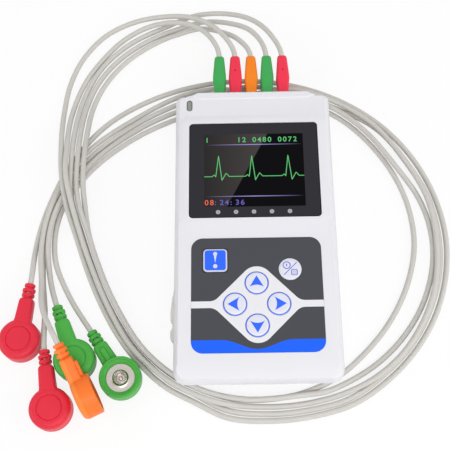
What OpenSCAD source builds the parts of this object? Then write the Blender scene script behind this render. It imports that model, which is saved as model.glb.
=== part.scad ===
// Ambulatory heart recorder with five patient leads.
// It lies on its back: origin at the middle of the rear face, +Y to the connectors, +Z out of the display.

/* [Casing] */
// Width of the casing at its widest, where the two shells meet
case_w = 55.8; // [55:0.1:57]
// Height of the casing from its rear face to the face round the keypad
case_h = 24; // [24:0.1:25]
// End of the casing below the keypad
case_foot = -53.1; // [-53.6:0.1:-52.6]
// End of the casing above the display, beside the connectors
case_head = 51.8; // [51.4:0.1:52.2]
// Height at which the shells meet
split_h = 18; // [18:0.1:18.5]
// Wall thickness of both shells
wall = 1.8; // [1.6:0.1:2]
// Width of the bevel along the front edge
front_bevel = 1.8; // [1.6:0.1:2]
// How far the block over the connectors stands out of the end
swell = 0.3; // [0.2:0.1:0.6]

/* [Display] */
// Width of the window
window_w = 45.5; // [44:0.1:46]
// Length of the window
window_l = 36.4; // [35:0.1:37]
// Middle of the window along the casing
window_y = 20.85; // [20:0.05:21.5]
// How far the frame round the window stands out of the face
frame_rise = 0.7; // [0.5:0.1:0.8]

/* [Keypad] */
// Width of the printed overlay
pad_w = 43.8; // [43:0.1:45]
// Length of the printed overlay
pad_l = 39.7; // [39:0.1:41]
// Middle of the overlay along the casing
pad_y = -24.35; // [-24.5:0.05:-24]
// Middle of the four arrow keys along the casing
arrow_y = -27.8; // [-28:0.1:-27.5]
// Distance from that middle to each arrow key
arrow_reach = 7.25; // [7:0.05:7.5]
// Radius of an arrow key
arrow_r = 3.9; // [3.6:0.1:4]
// Travel of every key
key_travel = 0.4; // [0.3:0.05:0.4]

/* [Battery] */
// Diameter of an AA cell
cell_d = 14.5; // [14:0.1:14.5]
// Length of an AA cell with its contact nub
cell_l = 50.5; // [49.5:0.1:50.5]
// Width of the battery door
door_w = 33; // [32:0.5:34]

/* [Leads] */
// Diameter of a lead
lead_d = 2; // [1.8:0.1:2]
// Distance between two plugs
plug_pitch = 6; // [5.8:0.1:6.2]
// Height of the row of plugs over the table
plug_h = 12; // [11.5:0.1:12.5]
// Width of a plug at its widest
plug_w = 5; // [4.8:0.1:5.2]
// Radius of a snap clip's round head
snap_r = 7.2; // [7:0.1:7.4]
// Thickness of a snap clip's head
snap_t = 7; // [6.6:0.1:7.2]
// Slope of the clip that stands on its rim
snap_tilt = 19; // [17:1:20]

/* [Hidden] */
$fn = 48;

// Colours, as the photograph shows them
pale = [0.88, 0.88, 0.9];
slate = [0.3, 0.3, 0.32];
blue = [0.13, 0.4, 0.96];
steel = [0.72, 0.71, 0.7];
lead_grey = [0.76, 0.75, 0.72];
green = [0.25, 0.66, 0.3];
red = [0.9, 0.2, 0.3];
orange = [1, 0.53, 0.15];
lead_colours = [green, red, orange, green, red];

// Casing
half_w = case_w / 2;
side_draft = 3.4;     // how far each side comes in down to the rear face
foot_draft = 4.1;     // the same at the end below the keypad
head_draft = 1.6;     // the same at the connectors
rear_round = 4.4;     // height of the rounding along the rear edge
foot_corner_r = 4.2;
head_corner_r = 2.5;
floor_t = 2;
gap = 0.3;            // clearance of a piece that moves or is laid in
front_floor = case_h - wall;
// front edge: how far in, and how far under the face
front_steps = [[0, 6], [0.2, 2.6], [front_bevel - 0.5, 0.4], [front_bevel, 0]];
bend_y = -47.2;       // where the face bends down to the end below the keypad
bend = 13;            // slope beyond it, in degrees
swell_w = 39.6;       // straight part of the block over the connectors
swell_ramp = 2.9;
swell_low = 5.5;
swell_edge = 0.5;
lip_y = 49.15;
lip_rise = 0.4;
post_r = 2.6;
screw_spots = [[-19.4, 40], [19.4, 40], [-19.4, -40], [19.4, -40]];

// Display
window_r = 1.4;
window_t = 1.4;
window_top = case_h + frame_rise - 0.2;
frame_w = 52.8;
frame_foot = -0.9;
frame_head = 42.7;
frame_slope = 1.4;
frame_r = 4;
panel_w = 42.6;
panel_l = 34;
panel_y = window_y + 0.4;
panel_top = window_top - window_t - 0.2;
light_x = [-12.7, -6.6, -0.45, 5.7, 11.9];
light_y = 4.85;
light_r = 0.8;
slot_spot = [-22.7, 46.8];
slot_w = 2.1;
slot_l = 4.6;

// Keypad
pad_r = 3.9;
pad_t = 0.5;
mark_spot = [-13.8, -12.5];
mark_side = 8.3;
power_spot = [11.2, -15.9];
power_r = 3.8;
arrow_spots = [
    [-0.1, arrow_y + arrow_reach], [-0.1, arrow_y - arrow_reach],
    [-0.1 - arrow_reach, arrow_y], [-0.1 + arrow_reach, arrow_y]
];
key_spots = concat([mark_spot, power_spot], arrow_spots);
key_crown = 0.35;
flange_t = 0.7;
flange_out = 0.7;

// Board, cells and sockets
board_z = split_h;
board_t = 1;
dome_t = 0.5;         // height of a key dome when its key is pressed
cell_z = 9.6;
cell_x = 7.4;
bay_w = 30.4;
bay_foot = case_foot + 4.6;
cell_y = bay_foot + 1.7;
bay_head = cell_y + cell_l + 3.7;
bay_top = 17.1;
bay_wall = 1.2;
door_t = 1.6;
door_lip_w = 21;
door_lip_h = 11;
door_lip_t = 1.2;
hinge_x = 10;
hinge_y = bay_head + 1.3;
hinge_z = 1.2;
hinge_r = 0.9;
door_head = hinge_y - 1.6;
port_y = -30;
port_l = 16.6;
port_z = 13.6;
port_h = 6.8;
port_wall_x = -27.05;
port_hinge = [-27.1, -21];
anchor_y = -19.3;
anchor_l = 2.7;
jack_reach = 9;       // depth of a plug's contact under the end of the casing
jack_depth = 8.2;

// Plugs
plug_x = [for (i = [-2 : 2]) i * plug_pitch];
plug_start = case_head + swell + 0.7;
plug_end = 74.2;

// Each clip: middle of its head, heading from the relief to the head, and how it lies
snap_spots = [
    [-46.9, -47.75, -56.5, "down"],
    [-82.7, -33.8, -96.9, "up"],
    [-57.9, -54.4, -64.3, "edge"],
    [-63.2, -41.05, -69.6, "up"],
    [-70.4, -57.7, -80.5, "up"]
];
relief_h = snap_t - 2.3;   // height of the lead in the clip
relief_l = 5.4;
snap_l = 20.2;             // from the middle of the head to where the lead goes in
socket_top = 3.8;

// Routes of the leads, from the plug to the clip, as their middles lie
routes = [
    [
        [-12, 74.2, 12], [-18, 87.5, 10.6], [-28.5, 94.3, 7], [-40, 95.4, 3], [-50, 90.8, 1.2],
        [-58.5, 81.8, 1], [-65, 71.5, 1], [-69.6, 57, 1.6], [-70.3, 41, 5.2], [-69.6, 28, 7.4],
        [-67.6, 19, 6.8], [-65, 10, 5.2], [-61.3, -1, 3.4], [-56.7, -12.5, 3.2], [-51.3, -24, 3.2],
        [-43.8, -36.5, 3.2], [-31, -48.2, 3.2], [-20, -54, 3.2], [-12, -56.5, 3.1], [-4, -57.3, 1.1],
        [12, -57.2, 1], [28, -53.9, 1.2], [39, -49.2, 3.1], [49, -41.5, 3.2], [57.5, -30.5, 3.2],
        [63.5, -17, 3.2], [66, 0, 3.2], [64, 19, 3.2], [57, 34, 3.2], [46.5, 49, 3.2],
        [31, 59.8, 3.4], [16, 63.9, 5.4], [0, 61.6, 5.4], [-15, 58.5, 2], [-47, 44.5, 1],
        [-63.5, 29.7, 1], [-72, 14.5, 1], [-72.8, -3, 1], [-67, -17, 1.2]
    ],
    [
        [-6, 74.2, 12], [-13, 87.8, 11.6], [-22.5, 95, 9], [-34, 98.3, 5.4], [-47.5, 97, 3.2],
        [-58, 92.3, 1.4], [-66, 83, 1], [-71, 71, 1], [-72.9, 57, 1.6], [-72.5, 42, 5],
        [-71.3, 27, 5.4], [-69, 16, 4.6], [-65.3, 5, 2], [-61.5, -6, 1], [-56, -19, 1],
        [-49.5, -31, 1], [-41.75, -41.25, 1], [-31.5, -50.5, 1], [-21.5, -55.8, 1], [-11, -60.9, 1],
        [3.5, -62.3, 1], [18, -61, 1], [32.5, -57, 1], [45.5, -48.5, 1], [55.5, -38.5, 1],
        [63.5, -26, 1], [68.5, -11.5, 1], [70, 3, 1], [67.3, 20, 1], [60, 36.5, 1],
        [50, 49.3, 1], [33.5, 61.3, 1], [8, 69.6, 1], [-20, 68.7, 1], [-40, 62, 1],
        [-56.5, 51.3, 1], [-68.3, 36.3, 1], [-76, 19, 1], [-80, 2, 1]
    ],
    [
        [0, 74.2, 12], [-5, 84.5, 9.6], [-12, 90, 6.6], [-20, 93.6, 3.4], [-29, 92.6, 1],
        [-40.5, 87, 1], [-51.5, 77.8, 1], [-58, 68.5, 1], [-61.8, 58.5, 1.3], [-63, 48, 3.4],
        [-63.5, 34, 5.4], [-63.3, 24, 5], [-62.4, 16, 3.4], [-60.9, 6.4, 1.5], [-57.3, -4.5, 1],
        [-49.2, -22.5, 1], [-38.5, -38.5, 1], [-29, -46.6, 1], [-19.5, -51.4, 1], [-7, -54.9, 1],
        [4, -55, 1], [16, -52.8, 1], [27, -48, 1], [37.5, -39.5, 1], [46.5, -29.2, 1],
        [54.5, -14.5, 1], [58.2, 0, 1], [56.8, 18, 1], [47.6, 38.2, 1], [31, 55, 1],
        [16, 61.3, 1], [0, 65.2, 1], [-15, 67, 1], [-47.5, 52.7, 1], [-63.5, 39.4, 1.6],
        [-75, 17.5, 3.2], [-77.6, 0, 3.2], [-76.3, -13, 4.6], [-74.4, -23.5, 9.6]
    ],
    [
        [6, 74.2, 12], [0.5, 88, 9.6], [-8, 94.5, 5.6], [-18, 97.5, 2.4], [-30, 94.8, 1],
        [-41.5, 89.4, 1], [-53.5, 79.8, 1], [-60.4, 70, 1], [-64.3, 59, 1.3], [-65.6, 48, 3.4],
        [-65.9, 34, 5.4], [-65.8, 24, 5.4], [-64.3, 16, 5.2], [-60.9, 6.4, 3.7], [-57.3, -4.5, 3.2],
        [-49.2, -22.5, 3.2], [-38.5, -38.5, 3.2], [-29, -46.6, 3.2], [-19.5, -51.8, 3.2], [-7, -55, 3.2],
        [16, -54, 3.2], [23, -52.9, 2.1], [30, -50, 1], [41, -43.6, 1], [52, -33.2, 1],
        [60, -20.5, 1], [65, 0, 1], [61.5, 19, 1], [54, 31, 2.8], [41.8, 47.8, 3.2],
        [31, 56.8, 3.2], [16, 62.6, 3.2], [0, 63, 2.8], [-15, 61.3, 1], [-47.5, 47.2, 1],
        [-63.5, 32.6, 2], [-72.5, 17.5, 3.2], [-75.3, 2, 3], [-74.3, -9, 1.6]
    ],
    [
        [12, 74.2, 12], [8, 85.3, 11], [0.5, 95, 7.4], [-9.5, 100.5, 3.6], [-21, 101.4, 1.6],
        [-34.5, 96, 1], [-48, 88.6, 1], [-58.8, 77.8, 1], [-65.3, 64, 1], [-67.9, 48, 3.4],
        [-68.2, 34, 5.4], [-67.8, 21.5, 4.6], [-63.1, 5.5, 1.4], [-59.4, -5.2, 1], [-51.1, -23.6, 1],
        [-40.1, -39.8, 1], [-30.2, -48.6, 1], [-20.5, -53.6, 1], [-12, -58.1, 1], [3.5, -60, 1],
        [18, -58.7, 1], [31, -55.3, 1], [44, -46.7, 1], [54, -36.8, 1], [61.5, -24.5, 1],
        [66.2, -11, 1], [67.5, 3, 1], [65, 19.5, 1], [58.5, 33.5, 1], [48.2, 48, 1],
        [31, 58.4, 1], [16, 64.8, 1], [0, 66.3, 3.5], [-15, 64.2, 2.4], [-47.5, 50, 1],
        [-63.5, 36, 1], [-73.7, 17.5, 1], [-77, -6, 1], [-75.3, -22, 1]
    ]
];

// Heading of a clip, from its relief to its head
function heading(s) =
    let (t = s[3] == "edge" ? snap_tilt : 0)
    [cos(s[2]) * cos(t), sin(s[2]) * cos(t), -sin(t)];

// Middle of the lead's axis abreast of the middle of the head
function head_middle(s) =
    s[3] == "up" ? [s[0], s[1], relief_h] :
    s[3] == "down" ? [s[0], s[1], snap_t - relief_h] :
    [s[0], s[1], snap_r] + (relief_h - snap_t / 2) * [sin(s[2]), -cos(s[2]), 0];

function relief_mouth(s) = head_middle(s) - snap_l * heading(s);

// Smooth curve through a list of points, with its direction given at both ends
function span(p, i) = norm(p[i + 1] - p[i]);
function slope(p, i) = (p[i + 1] - p[i]) / span(p, i);
function tangent(p, i, first, last) =
    i == 0 ? first :
    i == len(p) - 1 ? last :
    (slope(p, i) * span(p, i - 1) + slope(p, i - 1) * span(p, i)) / (span(p, i) + span(p, i - 1));
function between(p, i, t, first, last) =
    p[i] * (2 * t * t * t - 3 * t * t + 1)
    + tangent(p, i, first, last) * span(p, i) * (t * t * t - 2 * t * t + t)
    + p[i + 1] * (3 * t * t - 2 * t * t * t)
    + tangent(p, i + 1, first, last) * span(p, i) * (t * t * t - t * t);
function laid(v) = [v[0], v[1], max(lead_d / 2, v[2])];
function curve(p, steps, first, last) = [
    for (i = [0 : len(p) - 2], j = [0 : steps - 1]) laid(between(p, i, j / steps, first, last)),
    p[len(p) - 1]
];

// Tube of radius r along the points of a curve
function unit(v) = v / norm(v);
function ahead(c, i, first, last) =
    i == 0 ? first : i == len(c) - 1 ? last : unit(c[i + 1] - c[i - 1]);
function ring(middle, way, r, sides) =
    let (across = unit(cross(way, [0, 0, 1])), up = cross(across, way))
    [
        for (s = [0 : sides - 1])
            let (a = 360 * (s + 0.5) / sides) middle + r * (cos(a) * across + sin(a) * up)
    ];

module tube(c, r, sides, first, last) {
    n = len(c);
    points = [for (i = [0 : n - 1]) each ring(c[i], ahead(c, i, first, last), r, sides)];
    walls = [
        for (i = [0 : n - 2], s = [0 : sides - 1])
            let (a = i * sides + s, b = i * sides + (s + 1) % sides)
            each [[a, b, a + sides], [b, b + sides, a + sides]]
    ];
    start_cap = [[for (s = [sides - 1 : -1 : 0]) s]];
    end_cap = [[for (s = [0 : sides - 1]) (n - 1) * sides + s]];
    polyhedron(points, concat(walls, start_cap, end_cap));
}

// Rounded rectangle from its middle
module rounded(w, l, r) {
    hull()
        for (x = [-1, 1], y = [-1, 1])
            translate([x * (w / 2 - r), y * (l / 2 - r)]) circle(r, $fn = 32);
}

// Plain rounded plate with true round corners
module plate(w, l, r, t) {
    linear_extrude(t) {
        square([w - 2 * r, l], center = true);
        square([w, l - 2 * r], center = true);
        for (x = [-1, 1], y = [-1, 1])
            translate([x * (w / 2 - r), y * (l / 2 - r)]) circle(r);
    }
}

// Outline of the casing: it comes in by k times its draft, and then by i all round
module outline(k, i) {
    w = half_w - k * side_draft - i;
    foot = case_foot + k * foot_draft + i;
    head = case_head - k * head_draft - i;
    foot_r = max(1, foot_corner_r + 3 * k - i / 2);
    head_r = max(1, head_corner_r + 3 * k - i / 2);
    for (x = [-1, 1]) {
        translate([x * (w - foot_r), foot + foot_r]) circle(foot_r, $fn = 32);
        translate([x * (w - head_r), head - head_r]) circle(head_r, $fn = 32);
    }
}

// Front of the casing, drawn in by i, up to the height top
module front_form(i, top)
    difference() {
        hull()
            for (s = front_steps)
                translate([0, 0, split_h])
                    linear_extrude(max(0.01, top - s[1] - split_h)) outline(0, i + s[0]);
        translate([-case_w, bend_y, top])
            rotate([bend, 0, 0]) translate([0, -20, 0]) cube([2 * case_w, 20, 10]);
    }

// Rear of the casing, drawn in by i, down to the height low
module rear_form(i, low) {
    edge = rear_round - i;
    hull() {
        translate([0, 0, split_h - 0.01]) linear_extrude(0.01) outline(0, i);
        for (a = [0 : 15 : 90]) {
            z = low + edge - edge * sin(a);
            translate([0, 0, z])
                linear_extrude(split_h - 0.02 - z)
                    outline(1 - z / split_h, i + 0.7 * edge * (1 - cos(a)));
        }
    }
}

// Block over the connectors between two heights, its front raised as a lip
module swelling(low, high)
    intersection() {
        hull()
            for (e = [0, swell_edge])
                translate([0, 0, swell_low + swell_edge - e])
                    linear_extrude(case_h + lip_rise - swell_low - 2 * (swell_edge - e))
                        offset(delta = -e)
                            polygon([
                                [-swell_w / 2, lip_y], [swell_w / 2, lip_y],
                                [swell_w / 2 + swell_ramp, case_head - 1.2],
                                [swell_w / 2, case_head + swell], [-swell_w / 2, case_head + swell],
                                [-swell_w / 2 - swell_ramp, case_head - 1.2]
                            ]);
        translate([-case_w, 0, low]) cube([2 * case_w, 2 * case_head, high - low]);
    }

// Raised frame round the window
module window_frame()
    hull()
        for (e = [0, frame_slope])
            translate([0, (frame_head + frame_foot) / 2, case_h - 0.4])
                linear_extrude(0.4 + frame_rise * e / frame_slope)
                    rounded(frame_w - 2 * e, frame_head - frame_foot - 2 * e, frame_r - e);

module slot_form(w, l, t) {
    linear_extrude(t) {
        square([w, l - w], center = true);
        for (y = [-1, 1]) translate([0, y * (l - w) / 2]) circle(w / 2);
    }
}

function key_r(i) = i == 1 ? power_r : arrow_r;

module key_hole(i, out, t)
    translate([key_spots[i][0], key_spots[i][1]])
        if (i == 0) plate(mark_side + 2 * out, mark_side + 2 * out, 1, t);
        else cylinder(r = key_r(i) + out, h = t);

module front_shell() color(pale)
    difference() {
        union() {
            difference() {
                union() {
                    front_form(0, case_h);
                    swelling(split_h, case_h + 1);
                }
                translate([0, 0, -0.01]) front_form(wall, front_floor);
            }
            window_frame();
            for (s = screw_spots)
                translate([s[0], s[1], split_h]) cylinder(r = post_r, h = front_floor - split_h + 0.1);
        }
        translate([0, window_y, window_top - window_t])
            plate(window_w, window_l, window_r, 4);
        translate([-panel_w / 2 - gap, panel_y - panel_l / 2 - gap, split_h - 1])
            cube([panel_w + 2 * gap, panel_l + 2 * gap, 8]);
        translate([0, pad_y, case_h - pad_t]) plate(pad_w, pad_l, pad_r, 2);
        for (i = [0 : 5]) translate([0, 0, split_h]) key_hole(i, gap, 10);
        translate([slot_spot[0], slot_spot[1], split_h]) slot_form(slot_w, slot_l, 10);
        for (s = screw_spots) translate([s[0], s[1], split_h - 1]) cylinder(r = 0.9, h = 4.5);
    }

// The door's outline in the rear face, grown by g, up to its end by the hinge
module door_form(g, t, head)
    translate([0, (head + bay_foot) / 2, 0]) plate(door_w + 2 * g, head - bay_foot + 2 * g, 2, t);

module rear_shell() color(pale)
    difference() {
        union() {
            difference() {
                rear_form(0, 0);
                translate([0, 0, 0.01]) rear_form(wall, floor_t);
            }
            intersection() {
                rear_form(0, 0);
                translate([-bay_w / 2 - bay_wall, case_foot, 0.5])
                    cube([bay_w + 2 * bay_wall, bay_head + bay_wall + 2.2 - case_foot, split_h - 0.5]);
            }
            intersection() {
                rear_form(0, 0);
                for (s = screw_spots)
                    translate([s[0], s[1], 1]) cylinder(r = post_r + 0.8, h = split_h - 1);
            }
            swelling(0, split_h);
            translate([port_wall_x + 1.1, port_y - port_l / 2 - 1, port_z - port_h / 2 - 1])
                cube([2.5, port_l + 6, port_h + 2]);
        }
        // battery bay, open to the rear
        translate([-bay_w / 2, bay_foot, -1]) cube([bay_w, bay_head - bay_foot, bay_top + 1]);
        translate([0, 0, -1]) door_form(gap, door_t + 1.2, bay_head);
        translate([-door_lip_w / 2 - gap, case_foot - 1, -1])
            cube([door_lip_w + 2 * gap, 6, door_lip_h + 1 + gap]);
        // hooks of the door
        for (x = [-hinge_x, hinge_x]) {
            translate([x, hinge_y, hinge_z])
                rotate([0, 90, 0]) cylinder(r = hinge_r + gap, h = 4.6, center = true);
            translate([x - 2.3, bay_head - 1, -1]) cube([4.6, hinge_y - bay_head + 1.9, hinge_z + 1]);
            translate([x - 2.3, bay_head - 1, -1])
                cube([4.6, hinge_y - bay_head + 1, hinge_z + hinge_r + gap + 1]);
        }
        // jacks
        translate([-16.3, case_head - 9.4, plug_h - 4.5]) cube([32.6, 7.6, 12]);
        for (x = plug_x)
            translate([x, case_head - 4, plug_h]) rotate([-90, 0, 0]) cylinder(r = 2.3, h = 8);
        // port and its flap
        translate([port_wall_x + 1.2, port_y - port_l / 2 - gap, port_z - port_h / 2 - gap])
            mirror([1, 0, 0]) cube([6, port_l + 2 * gap, port_h + 2 * gap]);
        translate([-28, port_y - 4.1, port_z - 2]) cube([10, 8.2, 4]);
        translate([port_hinge[0], port_hinge[1], port_z - port_h / 2 - gap])
            cylinder(r = 1.45, h = port_h + 2 * gap);
        translate([port_hinge[0] - 4, port_hinge[1] - 1.45, port_z - port_h / 2 - gap])
            cube([4, 2.9, port_h + 2 * gap]);
        translate([port_wall_x - 4, anchor_y, port_z - port_h / 2]) cube([5.2, anchor_l, port_h]);
        // screws
        for (s = screw_spots) {
            translate([s[0], s[1], -1]) cylinder(r = 2.2, h = 3);
            translate([s[0], s[1], -1]) cylinder(r = 1.2, h = 30);
        }
    }

module battery_door() color(pale) {
    rib_count = 23;
    rib_pitch = 0.85;
    rib_z = 7.2;
    rib_y = case_foot + foot_draft * (1 - rib_z / split_h);
    intersection() {
        door_form(0, door_t, door_head);
        rear_form(0, 0);
    }
    // lip that wraps up the end of the casing
    difference() {
        intersection() {
            rear_form(0, 0);
            translate([-door_lip_w / 2, case_foot, 0]) cube([door_lip_w, 8, door_lip_h]);
        }
        rear_form(door_lip_t, door_t);
    }
    // hinge hooks
    for (x = [-hinge_x, hinge_x]) {
        translate([x, hinge_y, hinge_z]) rotate([0, 90, 0]) cylinder(r = hinge_r, h = 4, center = true);
        translate([x - 2, door_head - 0.5, 0.4]) cube([4, hinge_y - door_head + 0.5, 1.2]);
    }
    // thumb grip
    for (i = [0 : rib_count - 1])
        translate([(i - (rib_count - 1) / 2) * rib_pitch, rib_y, rib_z])
            rotate([atan(foot_draft / split_h), 0, 0]) cube([0.45, 0.9, 4.8], center = true);
}

module display_window() color([0.12, 0.12, 0.14])
    translate([0, window_y, window_top - window_t])
        plate(window_w - 0.2, window_l - 0.2, window_r - 0.1, window_t);

module display_panel() color([0.1, 0.3, 0.16])
    translate([-panel_w / 2, panel_y - panel_l / 2, board_z + board_t])
        cube([panel_w, panel_l, panel_top - board_z - board_t]);

module status_lights() color(steel)
    for (x = light_x)
        translate([x, light_y, panel_top]) cylinder(r = light_r, h = window_top - window_t - panel_top);

module indicator_lens() color([0.62, 0.6, 0.6])
    translate([slot_spot[0], slot_spot[1], board_z + board_t])
        slot_form(slot_w - 0.1, slot_l - 0.1, case_h - 0.5 - board_z - board_t);

module keypad_overlay() color(slate)
    difference() {
        translate([0, pad_y, case_h - pad_t]) plate(pad_w - 0.1, pad_l - 0.1, pad_r - 0.05, pad_t);
        for (i = [0 : 5]) translate([0, 0, case_h - 2]) key_hole(i, 0.15, 4);
    }

// A key: flange under the face, stem over its dome, and a crowned top
module key(i) {
    stem_z = board_z + board_t + dome_t + key_travel + 0.05;
    flange_z = front_floor - 0.05 - flange_t;
    translate([0, 0, flange_z]) key_hole(i, flange_out, flange_t);
    translate([0, 0, flange_z]) key_hole(i, 0, case_h - flange_z);
    translate([key_spots[i][0], key_spots[i][1], stem_z]) cylinder(r = 1.5, h = flange_z - stem_z + 0.1);
    if (i > 0)
        translate([key_spots[i][0], key_spots[i][1], case_h])
            cylinder(r1 = key_r(i), r2 = key_r(i) - 1, h = key_crown);
    else
        translate([key_spots[i][0], key_spots[i][1], case_h])
            plate(mark_side - 0.8, mark_side - 0.8, 0.8, key_crown);
}

module mark_key() color(blue) key(0);
module power_key() color(pale) key(1);
module up_key() color(pale) key(2);
module down_key() color(pale) key(3);
module left_key() color(pale) key(4);
module right_key() color(pale) key(5);

module key_domes() color(steel)
    for (s = key_spots)
        translate([s[0], s[1], board_z + board_t]) cylinder(r1 = 2.5, r2 = 1.4, h = dome_t);

module main_board() color([0.1, 0.42, 0.24])
    difference() {
        union() {
            translate([0, -0.5, board_z]) plate(50, 98, 2, board_t);
            translate([16, 44.5, board_z + board_t - 0.01]) cube([9, 7, 1.4], center = true);
            translate([-12, 45, board_z + board_t - 0.01]) cube([7, 5, 1.2], center = true);
            translate([20, 0, board_z + board_t - 0.01]) cube([5, 8, 1.4], center = true);
        }
        for (s = screw_spots) translate([s[0], s[1], board_z - 1]) cylinder(r = 2.8, h = 4);
    }

module battery_cell(k) color([0.2, 0.24, 0.3])
    translate([k * cell_x, cell_y, cell_z]) rotate([-90, 0, 0])
        rotate_extrude()
            polygon([
                [0, 0], [cell_d / 2 - 0.5, 0], [cell_d / 2, 0.5], [cell_d / 2, cell_l - 2],
                [cell_d / 2 - 0.8, cell_l - 1.2], [2.8, cell_l - 1.2], [2.7, cell_l], [0, cell_l]
            ]);

module battery_springs() color(steel)
    for (k = [-1, 1]) {
        turns = 3;
        steps = 8;
        coil = [
            for (i = [0 : turns * steps])
                let (t = i / (turns * steps), a = 360 * i / steps, r = 3.4 - 1.2 * t)
                [k * cell_x + r * cos(a), bay_head - 0.75 - 2.7 * t, cell_z + r * sin(a)]
        ];
        tube(coil, 0.25, 6, unit(coil[1] - coil[0]), unit(coil[turns * steps] - coil[turns * steps - 1]));
    }

module contact_plates() color(steel)
    for (k = [-1, 1]) {
        translate([k * cell_x, bay_head - 0.25, cell_z]) cube([12, 0.5, 11], center = true);
        translate([k * cell_x, bay_foot + 0.25, cell_z]) cube([12, 0.5, 11], center = true);
        translate([k * cell_x, bay_foot + 0.5, cell_z])
            rotate([-90, 0, 0]) cylinder(r = 2.5, h = cell_y - bay_foot - 0.5);
    }

module usb_socket() color(steel)
    translate([-23.2, port_y, port_z])
        difference() {
            translate([0, -3.9, -2]) cube([6.4, 7.8, 4]);
            translate([-1, -3.5, -1.5]) cube([6.6, 7, 3]);
        }

module port_flap() color([0.82, 0.81, 0.8]) {
    low = port_z - port_h / 2;
    foot = port_y - port_l / 2;
    base_x = port_wall_x + 1;
    // base plate in its recess
    translate([base_x - 2.4, foot, low]) cube([2.4, port_l - 0.6, port_h]);
    // long hump and short hump: foot of the hump, its length, and how far its crest runs
    for (h = [[-31.2, 8.6, 0.7, 2.6], [-37.6, 4, 0.8, 2]])
        hull() {
            translate([base_x - 2.5, h[0], low + 0.2]) cube([1, h[1], port_h - 0.4]);
            translate([base_x - 3.2, h[0] + h[2], low + 1.2]) cube([1, h[3], port_h - 2.4]);
        }
    // plug that fills the opening
    translate([base_x - 0.1, port_y - 3.3, port_z - 1.3]) cube([1.9, 6.6, 2.6]);
    // bead on which it bends
    hull() {
        translate([port_hinge[0], port_hinge[1], low]) cylinder(r = 1.1, h = port_h, $fn = 32);
        translate([base_x - 2.2, port_hinge[1] - 1.6, low]) cube([2.1, 0.4, port_h]);
    }
}

// Foot of the flap, glued into the side of the casing
module port_anchor() color([0.82, 0.81, 0.8])
    hull() {
        translate([port_wall_x - 0.2, anchor_y, port_z - port_h / 2]) cube([1.3, anchor_l, port_h]);
        translate([port_wall_x - 0.9, anchor_y + 0.5, port_z - port_h / 2 + 0.6])
            cube([1, anchor_l - 1, port_h - 1.2]);
    }

module jack_block() color([0.25, 0.25, 0.27])
    difference() {
        translate([-16, case_head - 9.2, plug_h - 4.5]) cube([32, 7.1, 9]);
        for (x = plug_x)
            translate([x, case_head - jack_depth, plug_h]) rotate([-90, 0, 0]) cylinder(r = 2.1, h = 10);
    }

module jack_contacts() color([0.85, 0.7, 0.35])
    for (x = plug_x)
        translate([x, case_head - jack_depth, plug_h]) rotate([-90, 0, 0]) cylinder(r = 0.7, h = 5);

module case_screws() color(steel)
    for (s = screw_spots)
        translate([s[0], s[1], 0.5])
            difference() {
                union() {
                    cylinder(r = 2, h = 1.5);
                    cylinder(r = 0.88, h = split_h + 2.5);
                }
                translate([0, 0, -1]) cylinder(r = 0.8, h = 1.8, $fn = 6);
            }

// A plug: faceted grip, widest a third of the way up, and the sleeve that goes into its jack
module plug(k) color(lead_colours[k - 1]) {
    // distance along the grip, width, depth
    grip = plug_end - plug_start;
    steps = [[0, 4.1], [3.5, 4.75], [6.5, plug_w], [grip - 2.6, 3.75], [grip - 0.8, 3.2], [grip, 2.4]];
    translate([plug_x[k - 1], 0, plug_h]) {
        hull()
            for (s = steps)
                translate([0, plug_start + s[0], 0]) rotate([90, 0, 0])
                    linear_extrude(0.01)
                        for (c = [[0.72, 1], [1, 0.72]]) square([s[1] * c[0], s[1] * c[1]], center = true);
        difference() {
            translate([0, case_head - jack_reach + 2.2, 0]) rotate([-90, 0, 0])
                cylinder(r = 1.85, h = plug_start + 0.2 - case_head + jack_reach - 2.2);
            translate([0, case_head - jack_reach, 0]) rotate([-90, 0, 0]) cylinder(r = 0.8, h = 8);
        }
    }
}

module lead(k) color(lead_grey) {
    s = snap_spots[k - 1];
    first = [0, 1, 0];
    last = heading(s);
    tube(curve(concat(routes[k - 1], [relief_mouth(s)]), 2, first, last), lead_d / 2, 8, first, last);
}

// Puts a clip, drawn with its lead along +Y and its cover up, where it lies
module placed(s) {
    if (s[3] == "up")
        translate([s[0], s[1], 0]) rotate([0, 0, s[2] + 90]) children();
    else if (s[3] == "down")
        translate([s[0], s[1], snap_t]) rotate([0, 0, s[2] + 90]) rotate([0, 180, 0]) children();
    else
        translate([s[0], s[1], snap_r]) rotate([0, 0, s[2] + 90]) rotate([snap_tilt, 0, 0])
            rotate([0, -90, 0]) translate([0, 0, -snap_t / 2]) children();
}

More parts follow.
